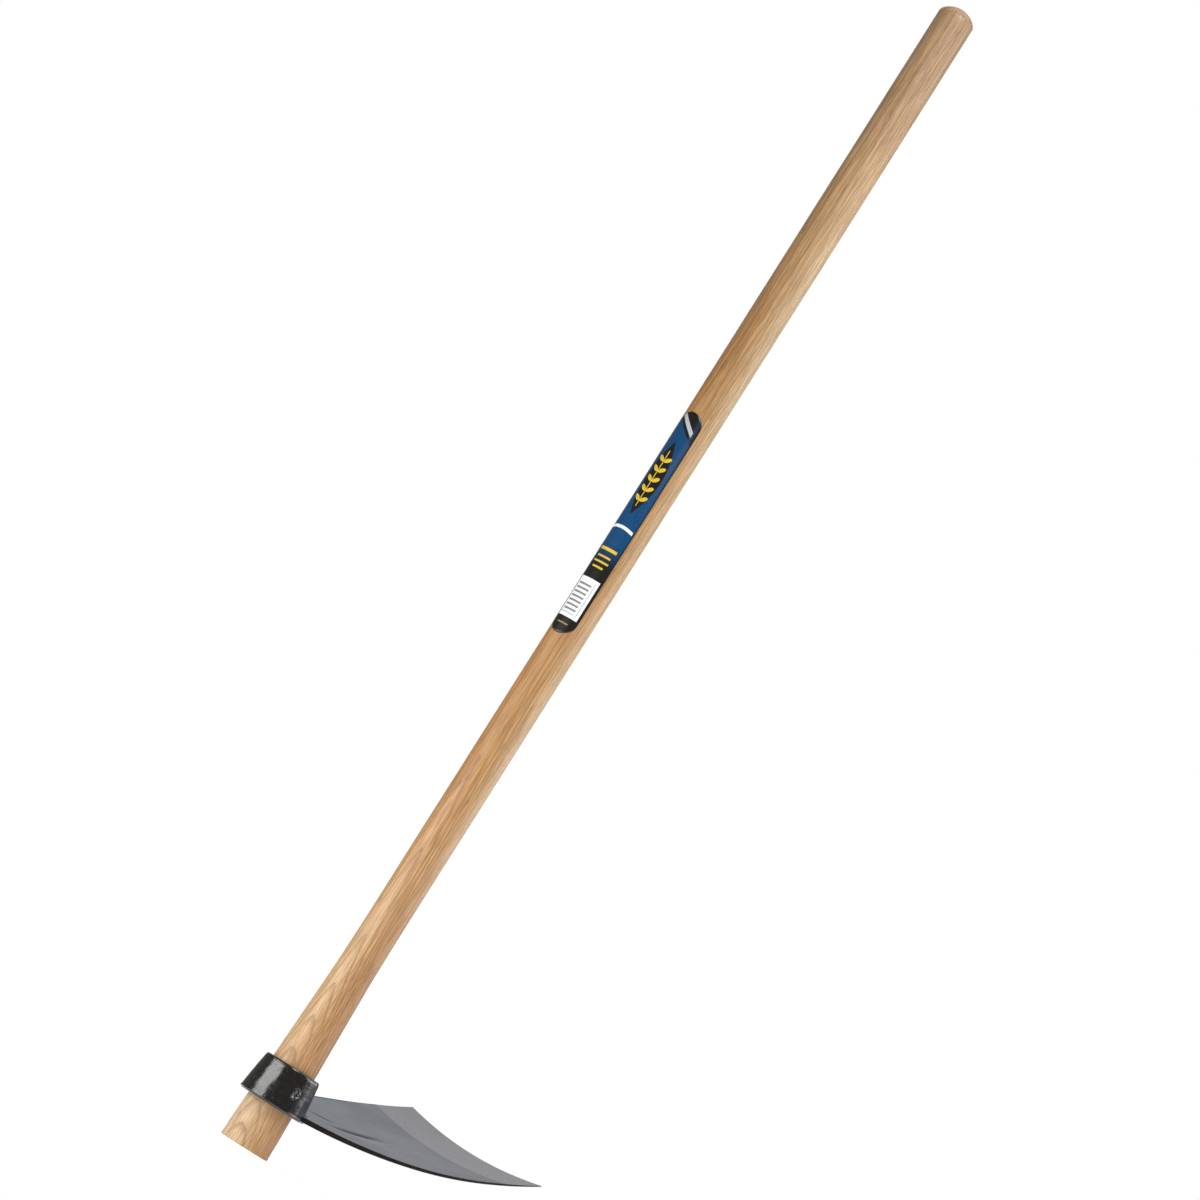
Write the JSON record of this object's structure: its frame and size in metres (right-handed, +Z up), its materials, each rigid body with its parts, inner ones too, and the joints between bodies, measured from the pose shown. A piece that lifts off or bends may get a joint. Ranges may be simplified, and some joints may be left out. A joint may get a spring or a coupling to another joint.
{
  "type": "draw hoe",
  "caption": "Eye-pattern draw hoe: a dished, bevelled steel blade on a tapered eye that jams on the flared foot of a long straight ash handle.",
  "frame": {"origin": "centre of the handle's flat foot, the end that passes through the eye", "axes": "+Z up the handle from the foot to the grip, +X from the handle out along the blade, Y across the blade"},
  "size_m": [0.2725, 0.203, 1.22],
  "materials": {
    "ash_wood": "fine sanded, thin clear oil",
    "black_paint": "gloss black over a rough forging",
    "blade_steel": "ground and clear lacquered",
    "weld_metal": "gloss black over weld ripples",
    "screw_steel": "painted over and chipped",
    "label_film": "printed gloss film"
  },
  "bodies": {
    "root": {"handle": "ash_wood", "eye": "black_paint", "blade": "blade_steel", "upper_weld": "weld_metal", "lower_weld": "weld_metal", "locking_screw": "screw_steel", "label": "label_film"}
  },
  "joints": []
}
